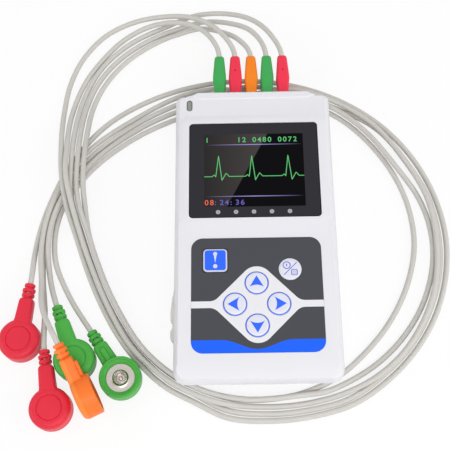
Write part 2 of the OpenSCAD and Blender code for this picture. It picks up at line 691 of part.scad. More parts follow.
module snap(k) color(lead_colours[k - 1] * 0.95)
    placed(snap_spots[k - 1]) {
        neck_end = snap_l - relief_l;
        difference() {
            union() {
                rotate_extrude()
                    polygon([
                        [0, 0.2], [snap_r - 0.4, 0.2], [snap_r - 0.2, 0], [snap_r, 0.3],
                        [snap_r, snap_t - 1.9], [snap_r - 0.25, snap_t - 1.1],
                        [snap_r - 0.8, snap_t - 0.45], [snap_r - 1.8, snap_t - 0.05],
                        [snap_r - 2.6, snap_t], [0, snap_t]
                    ]);
                // neck, its top level with the cover, flaring into the head
                translate([0, 0, relief_h - 2.3])
                    linear_extrude(4.4)
                        offset(-2.6) offset(2.6) {
                            circle(snap_r - 0.6);
                            polygon([[-2.9, 0], [2.9, 0], [2.55, neck_end], [-2.55, neck_end]]);
                        }
                // rib under the neck
                translate([-1.1, 0, relief_h - 3.2]) cube([2.2, neck_end - 2.4, 2]);
                // strain relief: collars on a core, joined by a bar in the middle or two at the sides
                translate([0, snap_l, relief_h]) rotate([90, 0, 0]) cylinder(r = 1.25, h = relief_l + 0.5);
                for (i = [0 : 2])
                    translate([0, snap_l - i * 1.8, relief_h]) rotate([90, 0, 0])
                        cylinder(r = [1.6, 2.05, 2.2][i], h = 1.2);
                for (i = [0 : 2])
                    translate([i == 1 ? -1.9 : -1.1, snap_l - 2 - i * 1.8, relief_h - 1.5])
                        cube([i == 1 ? 3.8 : 2.2, 1, i == 1 ? 1.6 : 3]);
            }
            translate([0, 0, -1]) cylinder(r = 4.9, h = socket_top + 1);
            translate([0, 0, -0.01]) cylinder(r1 = 6.1, r2 = 4.9, h = 1.2);
        }
    }

// Metal snap socket: plate with a raised ring round the bore
module snap_socket(k) color(steel)
    placed(snap_spots[k - 1])
        rotate_extrude()
            polygon([
                [0, socket_top], [4.8, socket_top], [4.8, 1.9], [2.75, 1.9], [2.5, 1.1],
                [2.25, 0.9], [2, 1.1], [2, 3], [0, 3]
            ]);

front_shell();
rear_shell();
battery_door();
display_window();
display_panel();
status_lights();
indicator_lens();
keypad_overlay();
mark_key();
power_key();
up_key();
down_key();
left_key();
right_key();
key_domes();
main_board();
battery_cell(-1);  // battery_cell_1
battery_cell(1);  // battery_cell_2
battery_springs();
contact_plates();
usb_socket();
port_flap();
port_anchor();
jack_block();
jack_contacts();
case_screws();
for (k = [1 : 5]) {
    plug(k);
    lead(k);
    snap(k);
    snap_socket(k);
}
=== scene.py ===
# %% [markdown]
# # A heart recorder with five patient leads
# The real thing is worn on a belt for a day: a pale moulded casing with a small display and a film
# keypad, and five leads that end in snap clips for the chest. The casing, its keys, door and flap come
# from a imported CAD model, which stays as it is. This script gives every piece its finish, and models
# anew the ones whose look needs more than the CAD holds.

from math import cos, hypot, pi, radians, sin

import bpy
from mathutils import Matrix, Vector


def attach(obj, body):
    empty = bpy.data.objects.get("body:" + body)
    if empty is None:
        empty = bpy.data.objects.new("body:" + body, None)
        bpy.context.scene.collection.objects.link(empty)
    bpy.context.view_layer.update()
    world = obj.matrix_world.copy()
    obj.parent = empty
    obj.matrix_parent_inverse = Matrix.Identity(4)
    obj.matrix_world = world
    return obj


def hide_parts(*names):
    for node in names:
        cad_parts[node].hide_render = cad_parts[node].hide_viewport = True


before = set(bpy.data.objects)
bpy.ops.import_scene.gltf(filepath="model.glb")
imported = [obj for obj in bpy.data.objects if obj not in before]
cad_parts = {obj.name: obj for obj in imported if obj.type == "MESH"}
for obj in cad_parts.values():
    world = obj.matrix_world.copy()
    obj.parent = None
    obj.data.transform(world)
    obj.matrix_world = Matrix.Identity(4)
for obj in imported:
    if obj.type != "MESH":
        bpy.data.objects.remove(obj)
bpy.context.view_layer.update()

# %% [markdown]
# ## Holding and selecting
# An operator acts on whatever is selected, so each step first lets go of everything and then takes
# hold of one object. Faces, edges and corners are chosen in code by where they are, which stands in for
# clicking on them.

# %% Take hold of one object, and pick parts of it
MM = 0.001
KINDS = ("VERT", "EDGE", "FACE")


def hold(piece):
    """Makes one object the selected and active one, in object mode."""
    if bpy.context.object and bpy.context.object.mode != "OBJECT":
        bpy.ops.object.mode_set(mode="OBJECT")
    bpy.ops.object.select_all(action="DESELECT")
    piece.select_set(True)
    bpy.context.view_layer.objects.active = piece


def pick(piece, kind, wanted):
    """Selects the corners, edges or faces that pass a test, and goes into edit mode."""
    hold(piece)
    mesh = piece.data
    groups = (mesh.vertices, mesh.edges, mesh.polygons)
    for group in groups:
        group.foreach_set("select", [False] * len(group))
    for item in groups[KINDS.index(kind)]:
        item.select = bool(wanted(item))
    bpy.context.tool_settings.mesh_select_mode = [kind == k for k in KINDS]
    bpy.ops.object.mode_set(mode="EDIT")


def everything(item):
    """A test that every corner, edge or face passes."""
    return True


def edge_middle(piece, edge):
    """The middle of an edge, in metres."""
    a, b = (piece.data.vertices[i].co for i in edge.vertices)
    return (a + b) / 2


def object_mode():
    """Leaves edit mode."""
    bpy.ops.object.mode_set(mode="OBJECT")


# %% [markdown]
# ## Modifiers and the last steps of a piece
# A modifier is tried out live when modelling by hand and applied once it looks right. Here each is
# applied at once. When a piece is done, its place goes into its mesh, so the object itself sits at the
# origin like those of the CAD model, and a pattern in object coordinates stays where it belongs.

# %% Apply a modifier, and finish a piece
def modify(piece, kind, **settings):
    """Adds a modifier with these settings and applies it."""
    hold(piece)
    modifier = piece.modifiers.new(kind.lower(), kind)
    for name, value in settings.items():
        setattr(modifier, name, value)
    bpy.ops.object.modifier_apply(modifier=modifier.name)


def smooth(piece, angle=35):
    """Shades smoothly over every edge that bends by less than the angle, in degrees."""
    hold(piece)
    bpy.ops.object.shade_smooth_by_angle(angle=radians(angle))


def settle(piece):
    """Puts the object's place, turn and size into its mesh."""
    hold(piece)
    bpy.ops.object.transform_apply(location=True, rotation=True, scale=True)


def new_piece(name, data):
    """A new object that shows this mesh or curve."""
    piece = bpy.data.objects.new(name, data)
    bpy.context.scene.collection.objects.link(piece)
    return piece


def hand_in(piece, name, body, finish, slot, *nodes):
    """Names a finished piece, gives it its finish, ties it to its body and hides the CAD nodes that it
    stands for.
    """
    piece.name = name
    piece.data.name = name
    piece.data.materials.clear()
    piece.data.materials.append(finish)
    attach(piece, body)
    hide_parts(*nodes)
    return piece


# %% [markdown]
# ## Shader maths in plain signs
# A print such as an arrow in a ring is easier to write as sums than to draw with boxes and wires. This
# class wraps one socket of a material, so that `a + b` adds a Math node. Any other node comes from its
# `node` method. The patterns read Object coordinates, in millimetres, so they sit still on the piece.

# %% A wire of a material
class Wire:
    """One output socket of a material's nodes, which Python can do sums with."""

    def __init__(self, tree, socket):
        self.tree = tree
        self.socket = socket

    def node(self, kind, settings, sockets, out=0):
        """Adds a node: first its settings, then what its sockets hold, as values or wires."""
        made = self.tree.nodes.new("ShaderNode" + kind)
        for name, value in settings.items():
            if name == "stops":
                ramp = made.color_ramp.elements
                for place, colour in value[1:-1]:
                    ramp.new(place)
                for element, (place, colour) in zip(ramp, value):
                    element.position = place
                    element.color = colour
            else:
                setattr(made, name, value)
        for name, value in sockets.items():
            if isinstance(value, Wire):
                self.tree.links.new(value.socket, made.inputs[name])
            else:
                made.inputs[name].default_value = value
        return Wire(self.tree, made.outputs[out])

    def sum(self, operation, *values):
        """Adds a Math node."""
        return self.node("Math", {"operation": operation}, dict(enumerate(values)))

    def __add__(self, other):
        return self.sum("ADD", self, other)

    def __radd__(self, other):
        return self.sum("ADD", other, self)

    def __sub__(self, other):
        return self.sum("SUBTRACT", self, other)

    def __rsub__(self, other):
        return self.sum("SUBTRACT", other, self)

    def __mul__(self, other):
        return self.sum("MULTIPLY", self, other)

    def __rmul__(self, other):
        return self.sum("MULTIPLY", other, self)

    def __truediv__(self, other):
        return self.sum("DIVIDE", self, other)

    def __abs__(self):
        return self.sum("ABSOLUTE", self)

    def most(self, other):
        """The larger of the two."""
        return self.sum("MAXIMUM", self, other)

    def least(self, other):
        """The smaller of the two."""
        return self.sum("MINIMUM", self, other)

    def root(self):
        """The square root."""
        return self.sum("SQRT", self)

    def limited(self):
        """Held between 0 and 1."""
        return self.node("Clamp", {}, {0: self, 1: 0.0, 2: 1.0})


# %% Shapes as distances in millimetres, negative inside
EDGE = 0.06  # how far a printed edge takes to change, in millimetres


def inside(distance, edge=EDGE):
    """1 inside a shape and 0 outside it."""
    return (0.5 - distance / edge).limited()


def disc(x, y, cx, cy, r):
    """A round shape."""
    dx = x - cx
    dy = y - cy
    return (dx * dx + dy * dy).root() - r


def line_round(distance, half):
    """A line of some width along a shape's edge."""
    return abs(distance) - half


def box(x, y, cx, cy, w, h, r):
    """A rectangle with round corners."""
    dx = abs(x - cx) - (w / 2 - r)
    dy = abs(y - cy) - (h / 2 - r)
    outer = (dx.most(0.0) * dx.most(0.0) + dy.most(0.0) * dy.most(0.0)).root()
    return outer + dx.most(dy).least(0.0) - r


def melted(a, b, k):
    """Two shapes joined with a fillet."""
    h = (k - abs(a - b)).most(0.0) / k
    return a.least(b) - h * h * (k / 4)


def painted(under, over, mask):
    """One colour laid over another where the mask is 1."""
    return mask.node("Mix", {"data_type": "RGBA"}, {0: mask, 6: under, 7: over}, out=2)


# %% [markdown]
# ## The start of every material
# Colours are written as a paint chart gives them, 0 to 255, and changed to the linear light that a
# renderer works in. Every plastic here starts from the same shader: a little unevenness in its colour
# and gloss, and the fine grain that a sparked mould leaves.

# %% Colours and the plain plastic
def paint(red, green, blue):
    """A colour from its three chart numbers."""
    parts = [c / 255 for c in (red, green, blue)]
    return [c / 12.92 if c <= 0.04045 else ((c + 0.055) / 1.055) ** 2.4 for c in parts] + [1.0]


def start(name):
    """A new material: its shader, and the place on the piece as x, y and z in millimetres."""
    material = bpy.data.materials.new(name)
    material.use_nodes = True
    tree = material.node_tree
    shader = tree.nodes["Principled BSDF"]
    spot = Wire(tree, tree.nodes.new("ShaderNodeTexCoord").outputs["Object"])
    scaled = spot.node("VectorMath", {"operation": "SCALE"}, {0: spot, 3: 1000.0})
    axes = [scaled.node("SeparateXYZ", {}, {0: scaled}, out=i) for i in range(3)]
    return material, shader, scaled, axes


def set_shader(shader, **sockets):
    """Sets or links sockets of the shader, whose names are written with _ for a space."""
    for name, value in sockets.items():
        socket = shader.inputs[name.replace("_", " ")]
        if isinstance(value, Wire):
            value.tree.links.new(value.socket, socket)
        else:
            socket.default_value = value


def noise(spot, size, detail=2.0):
    """Cloudy noise between 0 and 1, with clouds of this size in millimetres."""
    return spot.node("TexNoise", {}, {"Vector": spot, "Scale": 1 / size, "Detail": detail})


def bump(height, depth):
    """A normal from a height between 0 and 1 that stands for this depth in millimetres."""
    return height.node("Bump", {}, {"Strength": 1.0, "Distance": depth * MM, "Height": height})


def tinted(colour, spot, size, amount):
    """A colour that gets a little darker and lighter in clouds."""
    darker = [c * (1 - amount) for c in colour[:3]] + [1.0]
    return painted(darker, colour, noise(spot, size))


def plastic(name, colour, rough=0.42, grain=0.3, depth=0.006, uneven=0.03):
    """A moulded plastic with a fine sparked grain."""
    material, shader, spot, axes = start(name)
    set_shader(
        shader,
        Base_Color=tinted(colour, spot, 6.0, uneven),
        Roughness=noise(spot, 9.0) * 0.08 + (rough - 0.04),
        Specular_IOR_Level=0.3,
        Normal=bump(noise(spot, grain, 3.0), depth),
    )
    return material


# %% [markdown]
# ## The camera and the table
# The picture is taken from the foot of the casing, a little over twenty degrees off the vertical. The
# camera's place was worked out from the window's and the keypad's corners in the photograph, which are
# known rectangles. The table is plain and white. It still takes the object's shadow.

# %% Camera and table
CAMERA_PLACE = (-0.00682, -0.10824, 0.29755)
CAMERA_TURN = [radians(degrees) for degrees in (21.593, 0.947, -0.595)]
FOCAL_LENGTH = 68.91  # in millimetres, on a sensor 36 wide
TABLE_SIZE = 6
TABLE_DROP = 0.1      # millimetres that the table lies below the casing's back

bpy.ops.object.camera_add(location=CAMERA_PLACE, rotation=CAMERA_TURN)
camera = bpy.context.object
camera.data.lens = FOCAL_LENGTH
camera.data.sensor_width = 36
camera.data.clip_start = 0.01
bpy.context.scene.camera = camera

bpy.ops.mesh.primitive_plane_add(size=TABLE_SIZE, location=(0, 0, -TABLE_DROP * MM))
table = bpy.context.object
table.name = "table"
print("camera", [round(c, 3) for c in CAMERA_PLACE])

# %% [markdown]
# ## Light
# Soft light from all round, as in a photographer's tent, with a large lamp above the viewer and a weaker
# one on each side, the right one brighter. Together they light a level surface so that its colour comes
# out about as it is written. The view transform is Standard, which adds no look of its own.

# %% Lamps and world
def lamp(place, size, power):
    """A square soft lamp that faces the object."""
    bpy.ops.object.light_add(type="AREA", location=place)
    light = bpy.context.object
    light.data.size = size
    light.data.energy = power
    light.rotation_euler = (-Vector(place)).to_track_quat("-Z", "Y").to_euler()


scene = bpy.context.scene
scene.view_settings.view_transform = "Standard"
lamp((0.1, -0.5, 0.8), 0.5, 2.8)
lamp((0.7, -0.15, 0.45), 0.4, 1.7)
lamp((-0.7, -0.1, 0.45), 0.4, 1.0)


def white_where_seen(tree, amount):
    """This amount for what the camera sees, also in gloss and through glass, and 0 for what is lit."""
    rays = tree.nodes.new("ShaderNodeLightPath").outputs
    seen, mirrored, passed = (
        Wire(tree, rays[f"Is {name} Ray"]) for name in ("Camera", "Glossy", "Transmission")
    )
    return (seen + mirrored + passed).limited() * amount


WORLD_LIGHT = 0.57    # how bright the surroundings are for what they light

world = bpy.data.worlds.new("studio")
scene.world = world
world.use_nodes = True
backdrop = world.node_tree.nodes["Background"]
backdrop.inputs["Color"].default_value = (1, 1, 1, 1)
strength = white_where_seen(world.node_tree, 1 - WORLD_LIGHT) + WORLD_LIGHT
world.node_tree.links.new(strength.socket, backdrop.inputs["Strength"])

# %% White paper under the object
PAPER_GLOW = 0.84     # how much of the paper's look is plain white; the rest is lit and takes shadow


def white_paper():
    """Paper that looks almost white to the camera, in gloss and through glass, and keeps a soft shadow."""
    material, shader, spot, axes = start("white_paper")
    tree = material.node_tree
    set_shader(
        shader,
        Base_Color=tinted(paint(252, 252, 252), spot, 20.0, 0.01),
        Roughness=0.9,
        Specular_IOR_Level=0.0,
    )
    white = spot.node("Emission", {}, {"Strength": 1.0})
    lit = Wire(tree, shader.outputs[0])
    mixed = white.node("MixShader", {}, {0: white_where_seen(tree, PAPER_GLOW), 1: lit, 2: white})
    tree.links.new(mixed.socket, tree.nodes["Material Output"].inputs["Surface"])
    return material


table.data.materials.append(white_paper())
print("lamps and table ready")

# %% [markdown]
# ## Five leads
# Each lead is one soft cable of 2 mm, plugged into the top end of the casing. It loops over to the left,
# runs down beside the casing, once round it and back to the lower left, where its clip lies. The points
# are places on the lead's middle line, and a smooth curve runs through them. Where two leads cross, one
# climbs over the other in a low hump.

# %% The leads' routes
ROUTES = [            # in millimetres
    [
        (-12, 74.2, 12), (-18, 87.5, 10.6), (-28.5, 94.3, 7), (-40, 95.4, 3), (-50, 90.8, 1.2),
        (-58.5, 81.8, 1), (-65, 71.5, 1), (-69.6, 57, 1.6), (-70.3, 41, 5.2), (-69.6, 28, 7.4),
        (-67.6, 19, 6.8), (-65, 10, 5.2), (-61.3, -1, 3.4), (-56.7, -12.5, 3.2), (-51.3, -24, 3.2),
        (-43.8, -36.5, 3.2), (-31, -48.2, 3.2), (-20, -54, 3.2), (-12, -56.5, 3.1), (-4, -57.3, 1.1),
        (12, -57.2, 1), (28, -53.9, 1.2), (39, -49.2, 3.1), (49, -41.5, 3.2), (57.5, -30.5, 3.2),
        (63.5, -17, 3.2), (66, 0, 3.2), (64, 19, 3.2), (57, 34, 3.2), (46.5, 49, 3.2), (31, 59.8, 3.4),
        (16, 63.9, 5.4), (0, 61.6, 5.4), (-15, 58.5, 2), (-47, 44.5, 1), (-63.5, 29.7, 1), (-72, 14.5, 1),
        (-72.8, -3, 1), (-67, -17, 1.2),
    ],
    [
        (-6, 74.2, 12), (-13, 87.8, 11.6), (-22.5, 95, 9), (-34, 98.3, 5.4), (-47.5, 97, 3.2),
        (-58, 92.3, 1.4), (-66, 83, 1), (-71, 71, 1), (-72.9, 57, 1.6), (-72.5, 42, 5), (-71.3, 27, 5.4),
        (-69, 16, 4.6), (-65.3, 5, 2), (-61.5, -6, 1), (-56, -19, 1), (-49.5, -31, 1), (-41.75, -41.25, 1),
        (-31.5, -50.5, 1), (-21.5, -55.8, 1), (-11, -60.9, 1), (3.5, -62.3, 1), (18, -61, 1),
        (32.5, -57, 1), (45.5, -48.5, 1), (55.5, -38.5, 1), (63.5, -26, 1), (68.5, -11.5, 1), (70, 3, 1),
        (67.3, 20, 1), (60, 36.5, 1), (50, 49.3, 1), (33.5, 61.3, 1), (8, 69.6, 1), (-20, 68.7, 1),
        (-40, 62, 1), (-56.5, 51.3, 1), (-68.3, 36.3, 1), (-76, 19, 1), (-80, 2, 1),
    ],
    [
        (0, 74.2, 12), (-5, 84.5, 9.6), (-12, 90, 6.6), (-20, 93.6, 3.4), (-29, 92.6, 1), (-40.5, 87, 1),
        (-51.5, 77.8, 1), (-58, 68.5, 1), (-61.8, 58.5, 1.3), (-63, 48, 3.4), (-63.5, 34, 5.4),
        (-63.3, 24, 5), (-62.4, 16, 3.4), (-60.9, 6.4, 1.5), (-57.3, -4.5, 1), (-49.2, -22.5, 1),
        (-38.5, -38.5, 1), (-29, -46.6, 1), (-19.5, -51.4, 1), (-7, -54.9, 1), (4, -55, 1), (16, -52.8, 1),
        (27, -48, 1), (37.5, -39.5, 1), (46.5, -29.2, 1), (54.5, -14.5, 1), (58.2, 0, 1), (56.8, 18, 1),
        (47.6, 38.2, 1), (31, 55, 1), (16, 61.3, 1), (0, 65.2, 1), (-15, 67, 1), (-47.5, 52.7, 1),
        (-63.5, 39.4, 1.6), (-75, 17.5, 3.2), (-77.6, 0, 3.2), (-76.3, -13, 4.6), (-74.4, -23.5, 9.6),
    ],
    [
        (6, 74.2, 12), (0.5, 88, 9.6), (-8, 94.5, 5.6), (-18, 97.5, 2.4), (-30, 94.8, 1), (-41.5, 89.4, 1),
        (-53.5, 79.8, 1), (-60.4, 70, 1), (-64.3, 59, 1.3), (-65.6, 48, 3.4), (-65.9, 34, 5.4),
        (-65.8, 24, 5.4), (-64.3, 16, 5.2), (-60.9, 6.4, 3.7), (-57.3, -4.5, 3.2), (-49.2, -22.5, 3.2),
        (-38.5, -38.5, 3.2), (-29, -46.6, 3.2), (-19.5, -51.8, 3.2), (-7, -55, 3.2), (16, -54, 3.2),
        (23, -52.9, 2.1), (30, -50, 1), (41, -43.6, 1), (52, -33.2, 1), (60, -20.5, 1), (65, 0, 1),
        (61.5, 19, 1), (54, 31, 2.8), (41.8, 47.8, 3.2), (31, 56.8, 3.2), (16, 62.6, 3.2), (0, 63, 2.8),
        (-15, 61.3, 1), (-47.5, 47.2, 1), (-63.5, 32.6, 2), (-72.5, 17.5, 3.2), (-75.3, 2, 3),
        (-74.3, -9, 1.6),
    ],
    [
        (12, 74.2, 12), (8, 85.3, 11), (0.5, 95, 7.4), (-9.5, 100.5, 3.6), (-21, 101.4, 1.6),
        (-34.5, 96, 1), (-48, 88.6, 1), (-58.8, 77.8, 1), (-65.3, 64, 1), (-67.9, 48, 3.4),
        (-68.2, 34, 5.4), (-67.8, 21.5, 4.6), (-63.1, 5.5, 1.4), (-59.4, -5.2, 1), (-51.1, -23.6, 1),
        (-40.1, -39.8, 1), (-30.2, -48.6, 1), (-20.5, -53.6, 1), (-12, -58.1, 1), (3.5, -60, 1),
        (18, -58.7, 1), (31, -55.3, 1), (44, -46.7, 1), (54, -36.8, 1), (61.5, -24.5, 1), (66.2, -11, 1),
        (67.5, 3, 1), (65, 19.5, 1), (58.5, 33.5, 1), (48.2, 48, 1), (31, 58.4, 1), (16, 64.8, 1),
        (0, 66.3, 3.5), (-15, 64.2, 2.4), (-47.5, 50, 1), (-63.5, 36, 1), (-73.7, 17.5, 1), (-77, -6, 1),
        (-75.3, -22, 1),
    ],
]

# %% Where each clip lies
SNAP_R = 7.2          # radius of a clip's head
SNAP_T = 7.0          # its thickness
SNAP_L = 20.2         # from the middle of the head to where the lead goes in
LEAD_Z = 4.7          # height of the lead in the clip
TILT = radians(19)    # slope of the clip that stands on its rim
CLIPS = [             # middle of the head, way of the head from its lead, and how it lies
    (-46.9, -47.75, -56.5, "down"),
    (-82.7, -33.8, -96.9, "up"),
    (-57.9, -54.4, -64.3, "edge"),
    (-63.2, -41.05, -69.6, "up"),
    (-70.4, -57.7, -80.5, "up"),
]


def clip_place(clip):
    """The matrix that lays a clip, modelled cover up with its lead along +Y, where it belongs."""
    x, y, degrees, lie = clip
    height = {"up": 0, "down": SNAP_T, "edge": SNAP_R}[lie]
    place = Matrix.Translation((x * MM, y * MM, height * MM))
    place = place @ Matrix.Rotation(radians(degrees + 90), 4, "Z")
    if lie == "up":
        return place
    if lie == "down":
        return place @ Matrix.Rotation(pi, 4, "Y")
    rim = Matrix.Rotation(TILT, 4, "X") @ Matrix.Rotation(-pi / 2, 4, "Y")
    return place @ rim @ Matrix.Translation((0, 0, -SNAP_T / 2 * MM))


def heading(clip):
    """The way that the lead runs as it goes into the clip."""
    return (clip_place(clip).to_3x3() @ Vector((0, -1, 0))).normalized()


print("clips at", [(c[0], c[1]) for c in CLIPS])

# %% A smooth curve through a route
LEAD_R = 1.0 * MM
STEPS = 6             # points on the curve for each point of the route
IN_RELIEF = 5.7 * MM  # how far the lead runs on inside the clip


def way_at(points, i, first, last):
    """The direction of the curve at one of its points."""
    if i == 0:
        return first
    if i == len(points) - 1:
        return last
    before = (points[i] - points[i - 1]).length
    after = (points[i + 1] - points[i]).length
    slope_in = (points[i] - points[i - 1]) / before
    slope_out = (points[i + 1] - points[i]) / after
    return (slope_out * before + slope_in * after) / (before + after)


def lead_line(route, clip):
    """Close points along a lead, from its plug to inside its clip."""
    last = heading(clip)
    points = [Vector([c * MM for c in spot]) for spot in route]
    points.append(clip_place(clip) @ Vector((0, SNAP_L * MM, LEAD_Z * MM)))
    ways = [way_at(points, i, Vector((0, 1, 0)), last) for i in range(len(points))]
    line = []
    for i in range(len(points) - 1):
        span = (points[i + 1] - points[i]).length
        for j in range(STEPS):
            t = j / STEPS
            place = points[i] * (2 * t ** 3 - 3 * t ** 2 + 1)
            place += ways[i] * span * (t ** 3 - 2 * t ** 2 + t)
            place += points[i + 1] * (3 * t ** 2 - 2 * t ** 3)
            place += ways[i + 1] * span * (t ** 3 - t ** 2)
            place.z = max(place.z, LEAD_R)
            line.append(place)
    return line + [points[-1], points[-1] + last * IN_RELIEF]


def drawn_line(name, line, radius, resolution):
    """A round curve of some radius along a line of close places, in metres."""
    data = bpy.data.curves.new(name, "CURVE")
    data.dimensions = "3D"
    data.bevel_depth = radius
    data.bevel_resolution = resolution
    spline = data.splines.new("POLY")
    spline.points.add(len(line) - 1)
    for point, place in zip(spline.points, line):
        point.co = (*place, 1)
    return new_piece(name, data)


def lead_piece(k, route, clip):
    """A lead with closed ends, and its length."""
    line = lead_line(route, clip)
    piece = drawn_line(f"lead_sheath_{k}", line, LEAD_R, 3)
    piece.data.use_fill_caps = True
    length = sum((b - a).length for a, b in zip(line, line[1:]))
    return piece, length


leads = [lead_piece(k + 1, ROUTES[k], CLIPS[k]) for k in range(5)]
print("lead lengths in mm:", [round(length * 1000) for piece, length in leads])

# %% [markdown]
# ## The leads' finish
# The sheath is a soft grey plastic with a low sheen. It was drawn through a die, so it has no grain,
# only slight clouds of colour and soft handling marks.

# %% Sheath
def sheath():
    """Soft grey cable plastic."""
    material, shader, spot, axes = start("lead_sheath")
    set_shader(
        shader,
        Base_Color=tinted(paint(209, 206, 200), spot, 3.0, 0.05),
        Roughness=noise(spot, 1.5) * 0.14 + 0.4,
        Specular_IOR_Level=0.35,
        Normal=bump(noise(spot, 0.8), 0.01),
    )
    return material


sheath_finish = sheath()
for piece, length in leads:
    k = piece.name[-1]
    hand_in(piece, f"lead_sheath_{k}", "casing", sheath_finish, "lead", f"lead_{k}")

# %% [markdown]
# ## Copies of CAD nodes, eased at their edges
# Many CAD nodes have the right shape but knife-sharp edges and flat shading. Such a node is copied, its
# loose triangles are joined, flat parts are cut into as few triangles as they need, and a small bevel
# eases every edge, as a mould does. The copy then stands for the node, in exactly the same place.

# %% Ease a copy of a node
def eased(node, ease, sharp=30, segments=2):
    """A copy of a CAD node with its edges rounded by this many millimetres."""
    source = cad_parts[node]
    copy = new_piece(node + "_copy", source.data.copy())
    pick(copy, "VERT", everything)
    bpy.ops.mesh.remove_doubles(threshold=0.000005)
    bpy.ops.mesh.dissolve_limited(angle_limit=radians(0.6))
    bpy.ops.mesh.quads_convert_to_tris(quad_method="BEAUTY", ngon_method="BEAUTY")
    object_mode()
    if ease:
        modify(
            copy, "BEVEL", width=ease * MM, segments=segments, limit_method="ANGLE",
            angle_limit=radians(sharp), use_clamp_overlap=True, miter_outer="MITER_ARC",
        )
    smooth(copy)
    modify(copy, "WEIGHTED_NORMAL", keep_sharp=True)
    return copy


# %% [markdown]
# ## The casing
# Two shells in a pale, slightly blue-grey plastic that meet along the side. The whole shape is in the
# CAD model, so eased copies do for both, and for the battery door that closes the back.

# %% Casing, door and flap
PALE = paint(232, 232, 237)
casing_finish = plastic("pale_casing", PALE, rough=0.38, grain=0.35, depth=0.008, uneven=0.015)
for node, name, body, ease in (
    ("front_shell", "front_moulding", "casing", 0.25),
    ("rear_shell", "rear_moulding", "casing", 0.25),
    ("battery_door", "battery_door_moulding", "battery_door", 0.12),
):
    shell = hand_in(eased(node, ease), name, body, casing_finish, "case", node)
    print(name, len(shell.data.polygons), "faces")

flap_finish = plastic("flap_rubber", paint(226, 224, 217), rough=0.55, grain=0.2, depth=0.01)
hand_in(eased("port_flap", 0.2), "port_flap_rubber", "port_flap", flap_finish, "flap", "port_flap")
hand_in(eased("port_anchor", 0.2), "flap_foot", "casing", flap_finish, "flap", "port_anchor")

# %% [markdown]
# ## The keypad's film
# A slate film is stuck into a shallow recess. Its print is white, blue and slate: a pale diamond round
# the arrow keys that runs out into a stripe on both sides, and a blue foot whose upper edge dips in the
# middle. Each shape is a distance in millimetres, so the print has crisp edges at any size.

# %% Film print
SLATE = paint(74, 75, 81)
BLUE = paint(33, 102, 255)
FILM_WHITE = paint(234, 234, 238)
SIN_45 = 0.7071
PAD_Y = -27.85        # middle of the diamond along the casing
DIAMOND = 10.82       # from that middle to a side of the diamond
DIAMOND_R = 5.4       # radius of its corners
STRIPE = 2.3          # width of the stripe that runs out of it on both sides
STRIPE_FILLET = 3.0
FOOT_Y = -39.8        # upper edge of the blue foot
DIP = 3.1             # how far that edge dips
DIP_X = -0.2          # where it is lowest
DIP_HALF = 11.6       # how far from there it starts to dip


def film():
    """The printed film of the keypad."""
    material, shader, spot, (x, y, z) = start("keypad_film")
    up = y - PAD_Y
    across = (x + up) * SIN_45
    along = (x - up) * SIN_45
    diamond = box(across, along, 0.0, 0.0, 2 * DIAMOND, 2 * DIAMOND, DIAMOND_R)
    stripe = abs(up) - STRIPE / 2
    pale = melted(diamond, stripe, STRIPE_FILLET)
    t = (abs(x - DIP_X) / DIP_HALF).least(1.0)
    edge_y = FOOT_Y - (1.0 - t * t * (3.0 - 2.0 * t)) * DIP
    colour = painted(SLATE, FILM_WHITE, inside(pale))
    colour = painted(colour, BLUE, inside(y - edge_y))
    set_shader(
        shader,
        Base_Color=colour,
        Roughness=noise(spot, 5.0) * 0.1 + 0.36,
        Specular_IOR_Level=0.15,
        Normal=bump(noise(spot, 0.12, 3.0), 0.005),
    )
    return material


film_finish = film()
film_piece = eased("keypad_overlay", 0.08)
hand_in(film_piece, "keypad_film", "casing", film_finish, "overlay", "keypad_overlay")
print("film printed")

# %% [markdown]
# ## The keys
# Under the film each key is a small crowned cap, square for the mark key and round for the others. The
# arrow keys carry a thin blue ring and a blue arrowhead with a hollow base, turned outwards. One drawing
# serves all four: it is turned by the angle of its key.

# %% The gloss of every key
def key_gloss(shader, spot, colour):
    """Gives a key its print, with a soft gloss and a fine grain."""
    set_shader(
        shader,
        Base_Color=colour,
        Roughness=noise(spot, 4.0) * 0.1 + 0.34,
        Normal=bump(noise(spot, 0.12, 3.0), 0.004),
    )


# %% Arrow keys
KEY_WHITE = paint(226, 227, 238)
KEY_TINT_R = 3.2      # radius of the part of a key that is tinted a little
ARROW_TIP = 2.5       # above the key's middle
ARROW_BASE = -1.5
ARROW_HALF = 2.4      # half its width at the base
HOLLOW_R = 4.2        # the arrowhead's base is cut out by a circle of this radius
HOLLOW_DOWN = 3.45    # whose middle lies this far below the base
RING_R = 3.72
RING_LINE = 0.32


def arrow_key(name, cx, cy, degrees):
    """A pale key face with a ring and an arrowhead that points this way, 0 being up."""
    material, shader, spot, (x, y, z) = start(name)
    dx = x - cx
    dy = y - cy
    c = cos(radians(degrees))
    s = sin(radians(degrees))
    side = abs(dx * c + dy * s)
    up = dy * c - dx * s
    steep = ARROW_HALF / (ARROW_TIP - ARROW_BASE)
    slant = (side - (ARROW_TIP - up) * steep) * (1 / hypot(1, steep))
    hollow = HOLLOW_R - disc(side, up, 0.0, ARROW_BASE - HOLLOW_DOWN, 0.0)
    head = slant.most(hollow).most(ARROW_BASE - up)
    ring = line_round(disc(x, y, cx, cy, RING_R), RING_LINE / 2)
    face = painted(FILM_WHITE, KEY_WHITE, inside(disc(x, y, cx, cy, KEY_TINT_R), 0.5))
    key_gloss(shader, spot, painted(face, BLUE, inside(ring.least(head))))
    return material


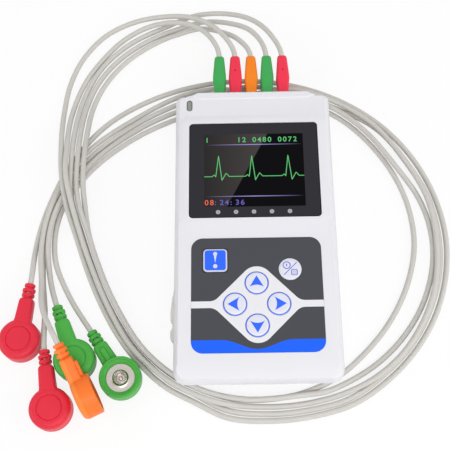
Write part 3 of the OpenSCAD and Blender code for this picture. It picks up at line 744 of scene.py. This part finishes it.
KEYS_X = -0.1         # middle of the four arrow keys
KEYS_Y = -27.8
REACH = 7.25          # from there to the middle of each
for name, degrees in (("up", 0), ("left", 90), ("down", 180), ("right", 270)):
    cx = KEYS_X - REACH * sin(radians(degrees))
    cy = KEYS_Y + REACH * cos(radians(degrees))
    finish = arrow_key(f"{name}_arrow_print", cx, cy, degrees)
    node = f"{name}_key"
    hand_in(eased(node, 0.25, 20, 3), f"{node}_cap", node, finish, "pale_key", node)
print("arrow keys printed")


# %% Mark key: a pale stroke and dot on blue, in a pale border
MARK_WHITE = paint(217, 219, 233)
MARK_X = -13.8
MARK_PANEL = (MARK_X, -12.5, 7.1, 7.1, 0.9)     # middle, size and corner radius
MARK_BORDER = (MARK_X, -12.5, 8.0, 8.0, 1.35)
STROKE_FOOT = -13.2   # the stroke's sides would meet a little below this place
STROKE_MIDDLE = -11.75
STROKE_HEAD = (MARK_X, -10.25, 0.7)             # middle and radius of its round top
MARK_DOT = (MARK_X, -14.6, 0.72)


def mark_print():
    """The mark key's face."""
    material, shader, spot, (x, y, z) = start("mark_print")
    stroke_r = (y - STROKE_FOOT) * 0.165 + 0.06
    stroke = (abs(x - MARK_X) - stroke_r).most(abs(y - STROKE_MIDDLE) - 1.5)
    sign = stroke.least(disc(x, y, *STROKE_HEAD)).least(disc(x, y, *MARK_DOT))
    colour = painted(SLATE, MARK_WHITE, inside(box(x, y, *MARK_BORDER)))
    colour = painted(colour, BLUE, inside(box(x, y, *MARK_PANEL)))
    key_gloss(shader, spot, painted(colour, MARK_WHITE, inside(sign)))
    return material


mark_cap = eased("mark_key", 0.2, 20, 3)
hand_in(mark_cap, "mark_key_cap", "mark_key", mark_print(), "blue_key", "mark_key")
print("mark key printed")


# %% Power key: a ring with a stroke, a slash, and a short list
POWER_INK = paint(72, 88, 205)
POWER_X, POWER_Y = 11.28, -15.8       # middle of the key
LIST_X, LIST_Y = 12.55, -17.1         # middle of the list
LIST_W = 1.9
POWER_RING = (10.05, -14.63, 1.18)
POWER_STROKE = (10.05, -14.55, 0.32, 0.95, 0.1)


def power_print():
    """The power key's face."""
    material, shader, spot, (x, y, z) = start("power_print")
    ring = line_round(disc(x, y, *POWER_RING), 0.15)
    stroke = box(x, y, *POWER_STROKE)
    slash = abs((x - POWER_X - (y - POWER_Y)) * SIN_45) - 0.13
    slash = slash.most(disc(x, y, POWER_X, POWER_Y, 3.05))
    frame_line = line_round(box(x, y, LIST_X, LIST_Y, LIST_W, LIST_W, 0.4), 0.12)
    rows = (abs(abs(y - LIST_Y) - 0.36) - 0.08).most(abs(x - LIST_X) - LIST_W / 2)
    ink = ring.least(stroke).least(slash).least(frame_line).least(rows)
    key_gloss(shader, spot, painted(KEY_WHITE, POWER_INK, inside(ink)))
    return material


power_cap = eased("power_key", 0.25, 20, 3)
hand_in(power_cap, "power_key_cap", "power_key", power_print(), "pale_key", "power_key")
print("all six keys printed")

# %% [markdown]
# ## The display
# A clear window with a dark print round its picture lies flush in the raised frame. Seen from outside it
# reads as one dark glossy plate with a lit picture in it, so it is one: the picture is part of its
# material. The fine lines of the picture, a heart trace and figures, are thin pieces of their own, because
# they have to stay sharp.

# %% Window with its dark border and black picture
PICTURE = (0.0, 20.72, 34.9, 27.9, 0.15)        # middle, size and corner radius
BORDER = (0.0, 20.85, 45.3, 36.2, 1.4)
BORDER_GREY = paint(50, 49, 54)
PICTURE_BLACK = paint(3, 3, 5)
# A lighter wedge over the picture's left is a painted reflection, and it glows with the picture.
PAINTED_GLARE_GREY = paint(72, 67, 67)
PAINTED_GLARE_CORNER = (4.93, 34.68)   # the painted reflection's edge starts here and runs down to the left
PAINTED_GLARE_SLOPE = 0.526
RULES_Y = (30.5, 10.65)        # two thin lines above and below the trace
RULE_INK = paint(168, 158, 235)
WINDOW_TOP = 24.5
LIGHT_X = -0.4        # the middle one of the five round lights under the picture
LIGHT_Y = 4.85
LIGHT_PITCH = 6.15


def window_print():
    """Dark glossy window: slate border, black picture with a painted reflection, a lighter wedge, over its
    left.
    """
    material, shader, spot, (x, y, z) = start("display_window")
    picture = inside(box(x, y, *PICTURE)) * inside(WINDOW_TOP - 0.1 - z)
    # The wedge left of this slope is a painted reflection, brightest towards its right-hand edge.
    slope = (x - PAINTED_GLARE_CORNER[0]) - (y - PAINTED_GLARE_CORNER[1]) * PAINTED_GLARE_SLOPE
    sheen = inside(slope, 0.3) * ((x + 30.0) / 36.0).limited()
    black = painted(PICTURE_BLACK, PAINTED_GLARE_GREY, sheen)
    fade = (1.0 - abs(x) / 17.0).limited()
    rule = inside(abs(y - RULES_Y[0]).least(abs(y - RULES_Y[1])) - 0.14, 0.1) * fade
    lit = painted(black, RULE_INK, rule * inside(abs(x) - 17.3))
    # The thin near-black line along the border's outer edge is painted shade, the shadow in the gap round
    # the window.
    edge = inside(line_round(box(x, y, *BORDER), 0.2))
    border = painted(BORDER_GREY, paint(20, 20, 24), edge)
    column = x.sum("ROUND", (x - LIGHT_X) / LIGHT_PITCH).most(-2.0).least(2.0)
    nearest = column * LIGHT_PITCH + LIGHT_X
    from_light = disc(x, y, nearest, LIGHT_Y, 0.0)
    border = painted(border, paint(150, 150, 156), inside(from_light - 0.8))
    # The lighter ring on each silver dot is a painted highlight.
    border = painted(border, paint(196, 196, 202), inside(line_round(from_light - 0.5, 0.1)))
    set_shader(
        shader,
        Base_Color=painted(border, paint(3, 3, 4), picture),
        Roughness=noise(spot, 7.0) * 0.06 + 0.12,
        Emission_Color=painted(paint(0, 0, 0), lit, picture),
        Emission_Strength=1.0,
        Specular_IOR_Level=0.05,
    )
    return material


window = eased("display_window", 0.18)
hand_in(window, "window_plate", "casing", window_print(), "window", "display_window")
print("window printed")

# %% [markdown]
# ## Trace and figures
# The trace is a line through a few corners, repeated for three beats. A curve with a little thickness
# draws it. The figures are plain numbers, a clock reading and a count, each as wide as the next, as on a
# real display. Both are made meshes, laid on the window, and lit by their own material.

# %% Glowing inks
def glow(name, colour):
    """An ink of the lit picture."""
    material, shader, spot, axes = start(name)
    dim = [c * 0.75 for c in colour[:3]] + [1.0]
    set_shader(
        shader,
        Base_Color=paint(10, 12, 10),
        Roughness=0.4,
        Emission_Color=painted(dim, colour, noise(spot, 0.35)),
        Emission_Strength=1.0,
    )
    return material


GREEN_INK = glow("green_ink", paint(84, 200, 110))
RED_INK = glow("red_ink", paint(238, 96, 58))
VIOLET_INK = glow("violet_ink", paint(98, 84, 190))

# %% The heart trace
INK_Z = WINDOW_TOP + 0.01
FLATTENED = 0.15      # thickness of the trace against its width
TRACE_Y = 18.22
TRACE_END = 17.4
BEATS = (-12.4, -0.75, 11.95)
BEAT = [(-2.3, 0), (-1.55, 0.65), (-1.0, -0.1), (0, 7.9), (1.15, -1.45), (2.6, 1.25), (3.7, 0)]


def doubled(points, near=0.15):
    """The same line with a point close to each side of every corner, which keeps its width there."""
    line = [points[0]]
    for (ax, ay), (bx, by) in zip(points, points[1:]):
        length = hypot(bx - ax, by - ay)
        for t in (near / length, 1 - near / length):
            line.append((ax + (bx - ax) * t, ay + (by - ay) * t))
        line.append((bx, by))
    return line


def ribbon(points, half, name):
    """A thin flat line through points of the window's plane, in millimetres."""
    line = drawn_line(name, [(x * MM, y * MM, 0) for x, y in points], half * MM, 2)
    hold(line)
    bpy.ops.object.convert(target="MESH")
    line.scale = (1, 1, FLATTENED)
    line.location.z = INK_Z * MM
    settle(line)
    return line


corners = [(-TRACE_END, TRACE_Y)]
for beat in BEATS:
    corners += [(beat + x, TRACE_Y + y) for x, y in BEAT]
corners.append((TRACE_END, TRACE_Y))
trace = ribbon(doubled(corners), 0.15, "heart_trace")
hand_in(trace, "heart_trace", "casing", GREEN_INK, "display")
print("trace through", len(corners), "corners")


# %% Figures
FIGURE_H = 1.9
FIGURE_PITCH = 1.8
CAP_SHARE = 0.7       # height of a figure against the size of its type


def figures(text, x, y, name, ink):
    """Plain numbers on the window at a fixed pitch, the first one's lower left corner at x and y."""
    made = []
    for i, letter in enumerate(text):
        if letter == " ":
            continue
        bpy.ops.object.text_add(location=((x + i * FIGURE_PITCH) * MM, y * MM, INK_Z * MM))
        figure = bpy.context.object
        figure.data.body = letter
        figure.data.size = FIGURE_H / CAP_SHARE * MM
        figure.data.extrude = 0.01 * MM
        figure.data.offset = 0.04 * MM
        bpy.ops.object.convert(target="MESH")
        settle(figure)
        made.append(figure)
    for figure in made:
        figure.select_set(True)
    bpy.ops.object.join()
    return hand_in(bpy.context.object, name, "casing", ink, "display")


UPPER_ROW = 31.5
LOWER_ROW = 7.5
figures("1", -17.1, UPPER_ROW, "lead_number", GREEN_INK)
figures("12 0480 0072", -5.8, UPPER_ROW, "count_figures", GREEN_INK)
figures("08", -17.3, LOWER_ROW, "hour_figures", RED_INK)
figures(":24:36", -13.9, LOWER_ROW, "minute_figures", VIOLET_INK)
print("figures laid on the window")

# %% [markdown]
# ## Metals and inner pieces
# Springs, contacts and screws are bright nickel, the board is green lacquer over copper, and the cells
# have a printed sleeve. Most of it shows only when the battery door or the port flap is open, but it is
# finished all the same. These nodes keep their CAD shape and only change their material.

# %% Metal, lacquer, sleeve and lens
def metal(name, colour, rough=0.25):
    """A plated metal with faint brushing."""
    material, shader, spot, axes = start(name)
    stretched = spot.node("VectorMath", {"operation": "MULTIPLY"}, {0: spot, 1: (1.0, 12.0, 12.0)})
    lines = noise(stretched, 1.2, 3.0)
    set_shader(
        shader,
        Base_Color=tinted(colour, spot, 1.5, 0.12),
        Metallic=1.0,
        Roughness=lines * 0.15 + rough,
        Normal=bump(lines, 0.003),
    )
    return material


def lacquer():
    """Green solder lacquer with copper tracks under it."""
    material, shader, spot, axes = start("board_lacquer")
    squares = {"feature": "DISTANCE_TO_EDGE", "distance": "CHEBYCHEV"}
    to_edge = spot.node("TexVoronoi", squares, {"Vector": spot, "Scale": 0.35})
    track = inside(to_edge - 0.06, 0.02)
    set_shader(
        shader,
        Base_Color=painted(paint(22, 96, 58), paint(44, 128, 78), track),
        Roughness=track * 0.08 + 0.3,
        Normal=bump(track, 0.03),
    )
    return material


BAND_Y = -2.5         # from here on the cells' sleeve is dark
CAP_Y = 1.7           # and from here on the bare metal shows


def sleeve():
    """The printed sleeve of a cell: copper-coloured, with a dark band and bare metal at the plus end."""
    material, shader, spot, (x, y, z) = start("cell_sleeve")
    band = inside(BAND_Y - y)
    end = inside(CAP_Y - y)
    colour = painted(paint(196, 132, 62), paint(40, 42, 48), band)
    set_shader(
        shader,
        Base_Color=painted(colour, paint(205, 203, 198), end),
        Metallic=0.6,
        Roughness=noise(spot, 2.0) * 0.1 + 0.28,
        Normal=bump(noise(spot, 0.5), 0.004),
    )
    return material


LENS_SLOT = (-22.7, 46.8, 2.0, 4.5, 1.0)        # middle, size and corner radius
LENS_TINT_Y = 46.4


def lens():
    """The indicator's grey lens: darker at its rim, with a green tint at its lower end."""
    material, shader, spot, (x, y, z) = start("lens_plastic")
    rim = line_round(box(x, y, *LENS_SLOT), 0.32)
    tint = inside(y - LENS_TINT_Y, 2.4)
    colour = painted(paint(150, 148, 146), paint(132, 152, 134), tint)
    set_shader(
        shader,
        Base_Color=painted(colour, paint(98, 94, 96), inside(rim, 0.2)),
        Roughness=noise(spot, 1.5) * 0.1 + 0.2,
        Normal=bump(noise(spot, 0.3), 0.01),
    )
    return material


def coat(node, finish):
    """Gives a CAD node its finish."""
    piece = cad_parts[node]
    piece.data.materials.clear()
    piece.data.materials.append(finish)


nickel = metal("nickel", paint(206, 203, 198))
brass = metal("brass", paint(214, 178, 96))
for node in ("key_domes", "battery_springs", "contact_plates", "usb_socket", "case_screws"):
    coat(node, nickel)
coat("status_lights", metal("satin_light", paint(200, 202, 210), 0.4))
coat("jack_contacts", brass)
coat("main_board", lacquer())
cells = sleeve()
for node in ("battery_cell_1", "battery_cell_2"):
    coat(node, cells)
coat("jack_block", plastic("jack_plastic", paint(44, 42, 46), 0.5))
coat("indicator_lens", lens())
coat("display_panel", plastic("panel_glass", paint(30, 32, 34), 0.2))
print("inner pieces finished")

# %% [markdown]
# ## The lead plugs
# Each plug is a soft moulded grip with a broad flat front and narrow chamfered corners, widest half way
# along. It starts as a square whose corners are bevelled, and is extruded from station to station and
# scaled at each, as a loft would be. A small gate mark from the mould sits on one side, and a round pin
# goes into the casing.

# %% Simple solids, and a loft
def join_solid(piece, tool, operation="UNION"):
    """Joins another solid to a piece, or cuts it away, and deletes it."""
    modify(piece, "BOOLEAN", object=tool, operation=operation, solver="EXACT")
    bpy.data.objects.remove(tool)


def barrel(r, h, place, turn=(0, 0, 0), sides=64):
    """A cylinder whose lower end is at a place, in millimetres."""
    middle = Vector(place) + Matrix.Rotation(turn[0], 3, "X") @ Vector((0, 0, h / 2))
    bpy.ops.mesh.primitive_cylinder_add(
        vertices=sides, radius=r * MM, depth=h * MM, location=middle * MM, rotation=turn
    )
    piece = bpy.context.object
    settle(piece)
    return piece


def block(low, high):
    """A box between two corners, in millimetres."""
    low, high = Vector(low), Vector(high)
    bpy.ops.mesh.primitive_cube_add(size=1, location=(low + high) / 2 * MM, scale=(high - low) * MM)
    piece = bpy.context.object
    settle(piece)
    return piece


def loft(stations, corner, segments):
    """A solid along +Y: a rectangle with cut corners, extruded and scaled from station to station."""
    place, width, depth = stations[0]
    bpy.ops.mesh.primitive_plane_add(size=MM, location=(0, 0, 0))
    piece = bpy.context.object
    piece.scale = (width, depth, 1)
    settle(piece)
    pick(piece, "VERT", everything)
    bpy.ops.mesh.bevel(affect="VERTICES", offset=corner * MM, segments=segments)
    bpy.ops.mesh.select_all(action="SELECT")
    for y, w, d in stations[1:]:
        bpy.ops.mesh.extrude_region_move(TRANSFORM_OT_translate={"value": (0, 0, (y - place) * MM)})
        bpy.ops.transform.resize(value=(w / width, d / depth, 1))
        place, width, depth = y, w, d
    bpy.ops.mesh.select_all(action="SELECT")
    bpy.ops.mesh.normals_make_consistent(inside=False)
    object_mode()
    piece.rotation_euler = (-pi / 2, 0, 0)
    settle(piece)
    return piece


# %% Plug grips
PLUG_Z = 12.0
PLUG_FOOT = 52.8      # where the grip starts, just outside the casing
GATE_Y = 67.3
GATE_UP = 1.95        # how far off the plug's middle line the gate mark is dug
PIN_R = 1.85          # the part of the plug that goes into the casing
PIN_FOOT = 49.8
PLUG_STATIONS = [     # place along the plug, and width there
    (PLUG_FOOT, 3.95), (59.6, 4.15), (61.6, 4.5), (63.2, 4.88), (64.1, 5.0), (65.2, 4.92), (68.3, 4.45),
    (72.9, 3.72), (73.7, 3.35), (74.1, 2.8), (74.2, 2.4),
]
PLUG_CORNER = 0.553   # how much of each corner is cut at the foot


def grip(x, gate_turn):
    """A plug's grip at one jack, with its gate mark turned by this many degrees."""
    piece = loft([(y, wide, wide) for y, wide in PLUG_STATIONS], PLUG_CORNER, 1)
    modify(piece, "BEVEL", width=0.22 * MM, segments=2, limit_method="ANGLE", angle_limit=radians(22))
    angle = radians(gate_turn)
    where = Vector((sin(angle) * GATE_UP, GATE_Y - PLUG_FOOT, cos(angle) * GATE_UP)) * MM
    bpy.ops.mesh.primitive_uv_sphere_add(radius=0.5 * MM, segments=16, ring_count=8, location=where)
    join_solid(piece, bpy.context.object, "DIFFERENCE")
    piece.location = (x * MM, PLUG_FOOT * MM, PLUG_Z * MM)
    settle(piece)
    pin_l = PLUG_FOOT + 0.4 - PIN_FOOT
    join_solid(piece, barrel(PIN_R, pin_l, (x, PIN_FOOT, PLUG_Z), (-pi / 2, 0, 0), 40))
    smooth(piece, 30)
    return piece


PLUG_COLOURS = {"green": paint(64, 172, 88), "red": paint(247, 54, 82), "orange": paint(255, 138, 28)}
ORDER = ["green", "red", "orange", "green", "red"]
GATES = [-48, 0, 180, -48, 0]         # turn of each plug's gate mark, in degrees
plug_finishes = {
    name: plastic(f"plug_{name}", colour, rough=0.45, grain=0.25, depth=0.008, uneven=0.06)
    for name, colour in PLUG_COLOURS.items()
}
for k in range(5):
    colour = ORDER[k]
    piece = grip((k - 2) * 6.0, GATES[k])
    hand_in(piece, f"plug_grip_{k + 1}", "casing", plug_finishes[colour], f"plug_{colour}", f"plug_{k + 1}")

# %% [markdown]
# ## The snap clips
# A clip is moulded in one soft piece: a round head that holds the metal snap, a neck that runs into it in
# a curve, and a strain relief of three collars with slots between them. Simple solids are joined by
# Booleans. A voxel remesh and a little smoothing then round every inner corner, as the mould does.

# %% Parts of a clip
FILLET = 2.6          # radius of the curve between head and neck
NECK_HALF = 2.9       # half the neck's width at the head
NECK_TIP = 2.55       # and at the relief
NECK_L = SNAP_L - 5.4
SHOULDERS = ((1.1, 1, 1), (0.5, 0.94, 0.96), (0.15, 0.82, 0.89), (0, 0.7, 0.82))  # back, width, depth
CROWN = 1.9           # rounding of the cover's edge
LOWER_RIM = 0.3       # and of the lower one
PITCH = 1.8           # from one collar of the relief to the next
COLLARS = (1.9, 2.3, 2.25)
COLLAR_W = 1.2
BOWL_R = 6.15


def head():
    """The round head: a deep rounding above and a narrow one below."""
    piece = barrel(SNAP_R, SNAP_T, (0, 0, 0), sides=96)
    top = SNAP_T * MM
    pick(piece, "EDGE", lambda e: edge_middle(piece, e).z > top - 1e-6)
    bpy.ops.mesh.bevel(offset=CROWN * MM, segments=7)
    object_mode()
    pick(piece, "EDGE", lambda e: edge_middle(piece, e).z < 1e-6)
    bpy.ops.mesh.bevel(offset=LOWER_RIM * MM, segments=2)
    object_mode()
    return piece


def neck():
    """The neck, as wide as the head's tangent where they meet, with round shoulders at the relief."""
    around = SNAP_R - 0.6
    cy = ((around + FILLET) ** 2 - (NECK_HALF + FILLET) ** 2) ** 0.5
    touch = cy * around / (around + FILLET)
    bottom, top = LEAD_Z - 2.45, SNAP_T - 0.2
    thick = top - bottom

    def width_at(y):
        """Width of the neck where its fillets run into the head."""
        return 2 * (NECK_HALF + FILLET - (FILLET ** 2 - (y - cy) ** 2) ** 0.5)

    stations = [(0, width_at(touch), thick)]
    for i in range(7):
        y = touch + (cy - touch) * i / 6
        stations.append((y, width_at(y), thick))
    for back, narrow, thin in SHOULDERS:
        y = NECK_L - back
        half = NECK_HALF + (NECK_TIP - NECK_HALF) * (y - cy) / (NECK_L - cy)
        stations.append((y, 2 * half * narrow, thick * thin))
    piece = loft(stations, 1.2, 4)
    piece.location = (0, 0, (bottom + top) / 2 * MM)
    settle(piece)
    return piece


def relief(piece):
    """Adds the three collars, and the bars that join them: one in the middle, or one on each side."""
    turn = (pi / 2, 0, 0)
    for i, r in enumerate(COLLARS):
        y = SNAP_L - PITCH * i
        collar = barrel(r, COLLAR_W, (0, y, LEAD_Z), turn, 40)
        modify(collar, "BEVEL", width=0.2 * MM, segments=2, limit_method="ANGLE", angle_limit=radians(50))
        join_solid(piece, collar)
        low, high = y - PITCH - 0.2, y - 1.0
        if i == 1:
            for side in (-1, 1):
                x0, x1 = sorted((side * 1.0, side * 1.8))
                join_solid(piece, block((x0, low, LEAD_Z - 1.25), (x1, high, LEAD_Z + 1.25)))
        else:
            join_solid(piece, block((-0.95, low, LEAD_Z - 1.35), (0.95, high, LEAD_Z + 1.35)))
    return piece


def bowl():
    """What is hollow in the head: a step in the rim, a slope, and the bore that holds the metal."""
    solid = barrel(BOWL_R, 1.1, (0, 0, -0.6), sides=96)
    pick(solid, "FACE", lambda f: f.normal.z > 0.9)
    for grow, rise in ((0.93, 0), (0.86, 0.65), (1, 2.7)):
        bpy.ops.mesh.extrude_region_move(TRANSFORM_OT_translate={"value": (0, 0, rise * MM)})
        bpy.ops.transform.resize(value=(grow, grow, 1))
    object_mode()
    return solid


# %% One clip, modelled once
GROOVE_R = 4.25       # the ring on the cover
GROOVE_W = 0.4
GROOVE_DEPTH = 0.4
RIB_HALF = 1.0        # the rib along the neck's lower side
VOXEL = 0.145


def clip_body():
    """A whole clip with its cover up, its lead along +Y and the middle of its head at the origin."""
    piece = head()
    join_solid(piece, neck())
    relief(piece)
    join_solid(piece, bowl(), "DIFFERENCE")
    rib = block((-RIB_HALF, 5.4, LEAD_Z - 3.5), (RIB_HALF, NECK_L - 2.2, LEAD_Z - 1.5))
    modify(rib, "BEVEL", width=0.55 * MM, segments=3)
    join_solid(piece, rib)
    ring = barrel(GROOVE_R + GROOVE_W / 2, 1, (0, 0, SNAP_T - GROOVE_DEPTH), sides=96)
    join_solid(ring, barrel(GROOVE_R - GROOVE_W / 2, 3, (0, 0, SNAP_T - 1), sides=96), "DIFFERENCE")
    join_solid(piece, ring, "DIFFERENCE")
    modify(piece, "REMESH", mode="VOXEL", voxel_size=VOXEL * MM)
    modify(piece, "SMOOTH", factor=0.5, iterations=3)
    smooth(piece, 40)
    return piece


model_clip = clip_body()
print("a clip has", len(model_clip.data.polygons), "faces")

# %% [markdown]
# ## The metal snap
# In the head sits a pressed plate with a raised collar that grips the electrode's stud. Its section is
# drawn as a chain of corners and spun round the middle.

# %% Snap plate, spun
SNAP_SECTION = [      # distance from the middle and height, in millimetres
    (0.0, 2.5), (0.4, 2.52), (0.62, 2.7), (0.8, 2.95), (1.3, 2.95), (1.42, 2.2), (1.5, 1.55),
    (1.68, 1.4), (1.86, 1.5), (2.0, 1.3), (2.08, 1.05), (2.26, 0.93), (2.44, 1.05), (2.55, 1.35),
    (2.68, 1.75), (2.9, 1.92), (4.5, 1.94), (4.84, 1.9), (4.84, 3.75), (0.0, 3.75),
]


def snap_plate():
    """The socket's plate with its collar."""
    mesh = bpy.data.meshes.new("snap_plate")
    corners = [(r * MM, 0, z * MM) for r, z in SNAP_SECTION]
    mesh.from_pydata(corners, [(i, i + 1) for i in range(len(corners) - 1)], [])
    piece = new_piece("snap_plate", mesh)
    pick(piece, "VERT", everything)
    bpy.ops.mesh.spin(steps=72, angle=2 * pi, center=(0, 0, 0), axis=(0, 0, 1))
    bpy.ops.mesh.select_all(action="SELECT")
    bpy.ops.mesh.remove_doubles(threshold=0.00001)
    bpy.ops.mesh.normals_make_consistent(inside=False)
    object_mode()
    smooth(piece, 50)
    return piece


model_plate = snap_plate()

# %% [markdown]
# ## The clip that lies on its rim
# This one shows the line where the two halves of its mould met. The cover's side of that line has painted
# light:
# its colour is a shade lighter than the other side's. The line lies at one height of the clip as it was
# modelled, so the material turns a place in the scene back into that height.

# %% Orange plastic with its mould line
SEAM_Z = 5.05         # height of that line in the clip


def seamed_orange():
    """Orange clip plastic, with the mould's line round the rim and painted light on the cover's side of it.
    """
    material, shader, spot, (x, y, z) = start("clip_orange")
    a, b, c, d = clip_place(CLIPS[2]).inverted()[2]
    height = x * a + y * b + z * c + d / MM
    # The cover's side of the line is painted a shade lighter, as painted light that side takes more of.
    halves = painted(paint(255, 124, 44), paint(255, 142, 58), inside(SEAM_Z - height))
    line = inside(line_round(height - SEAM_Z, 0.03), 0.14)
    cloud = noise(spot, 6.0)
    dim = painted(halves, paint(226, 104, 34), cloud * 0.12)
    set_shader(
        shader,
        Base_Color=painted(dim, paint(214, 96, 34), line * 0.5),
        Roughness=noise(spot, 9.0) * 0.08 + 0.38,
        Specular_IOR_Level=0.3,
        Normal=bump(noise(spot, 0.3, 3.0) * 0.4 + (1.0 - line) * 0.6, 0.03),
    )
    return material


# %% Lay a copy of each where its clip lies
clip_finishes = {
    "green": plastic("clip_green", paint(76, 178, 70), 0.42, 0.3, 0.012, 0.05),
    "red": plastic("clip_red", paint(232, 46, 68), 0.42, 0.3, 0.012, 0.05),
    "orange": seamed_orange(),
}
snap_metal = metal("snap_metal", paint(206, 199, 192), 0.2)


def laid(model, clip):
    """A copy of a model with its own mesh, laid where the clip is."""
    piece = new_piece(model.name, model.data.copy())
    piece.matrix_world = clip_place(clip)
    settle(piece)
    return piece


for k in range(5):
    colour = ORDER[k]
    body = hand_in(
        laid(model_clip, CLIPS[k]), f"clip_body_{k + 1}", "casing", clip_finishes[colour],
        f"snap_{colour}", f"snap_{k + 1}",
    )
    plate = hand_in(
        laid(model_plate, CLIPS[k]), f"clip_plate_{k + 1}", "casing", snap_metal, "socket",
        f"snap_socket_{k + 1}",
    )
bpy.data.objects.remove(model_clip)
bpy.data.objects.remove(model_plate)
print("five clips laid")
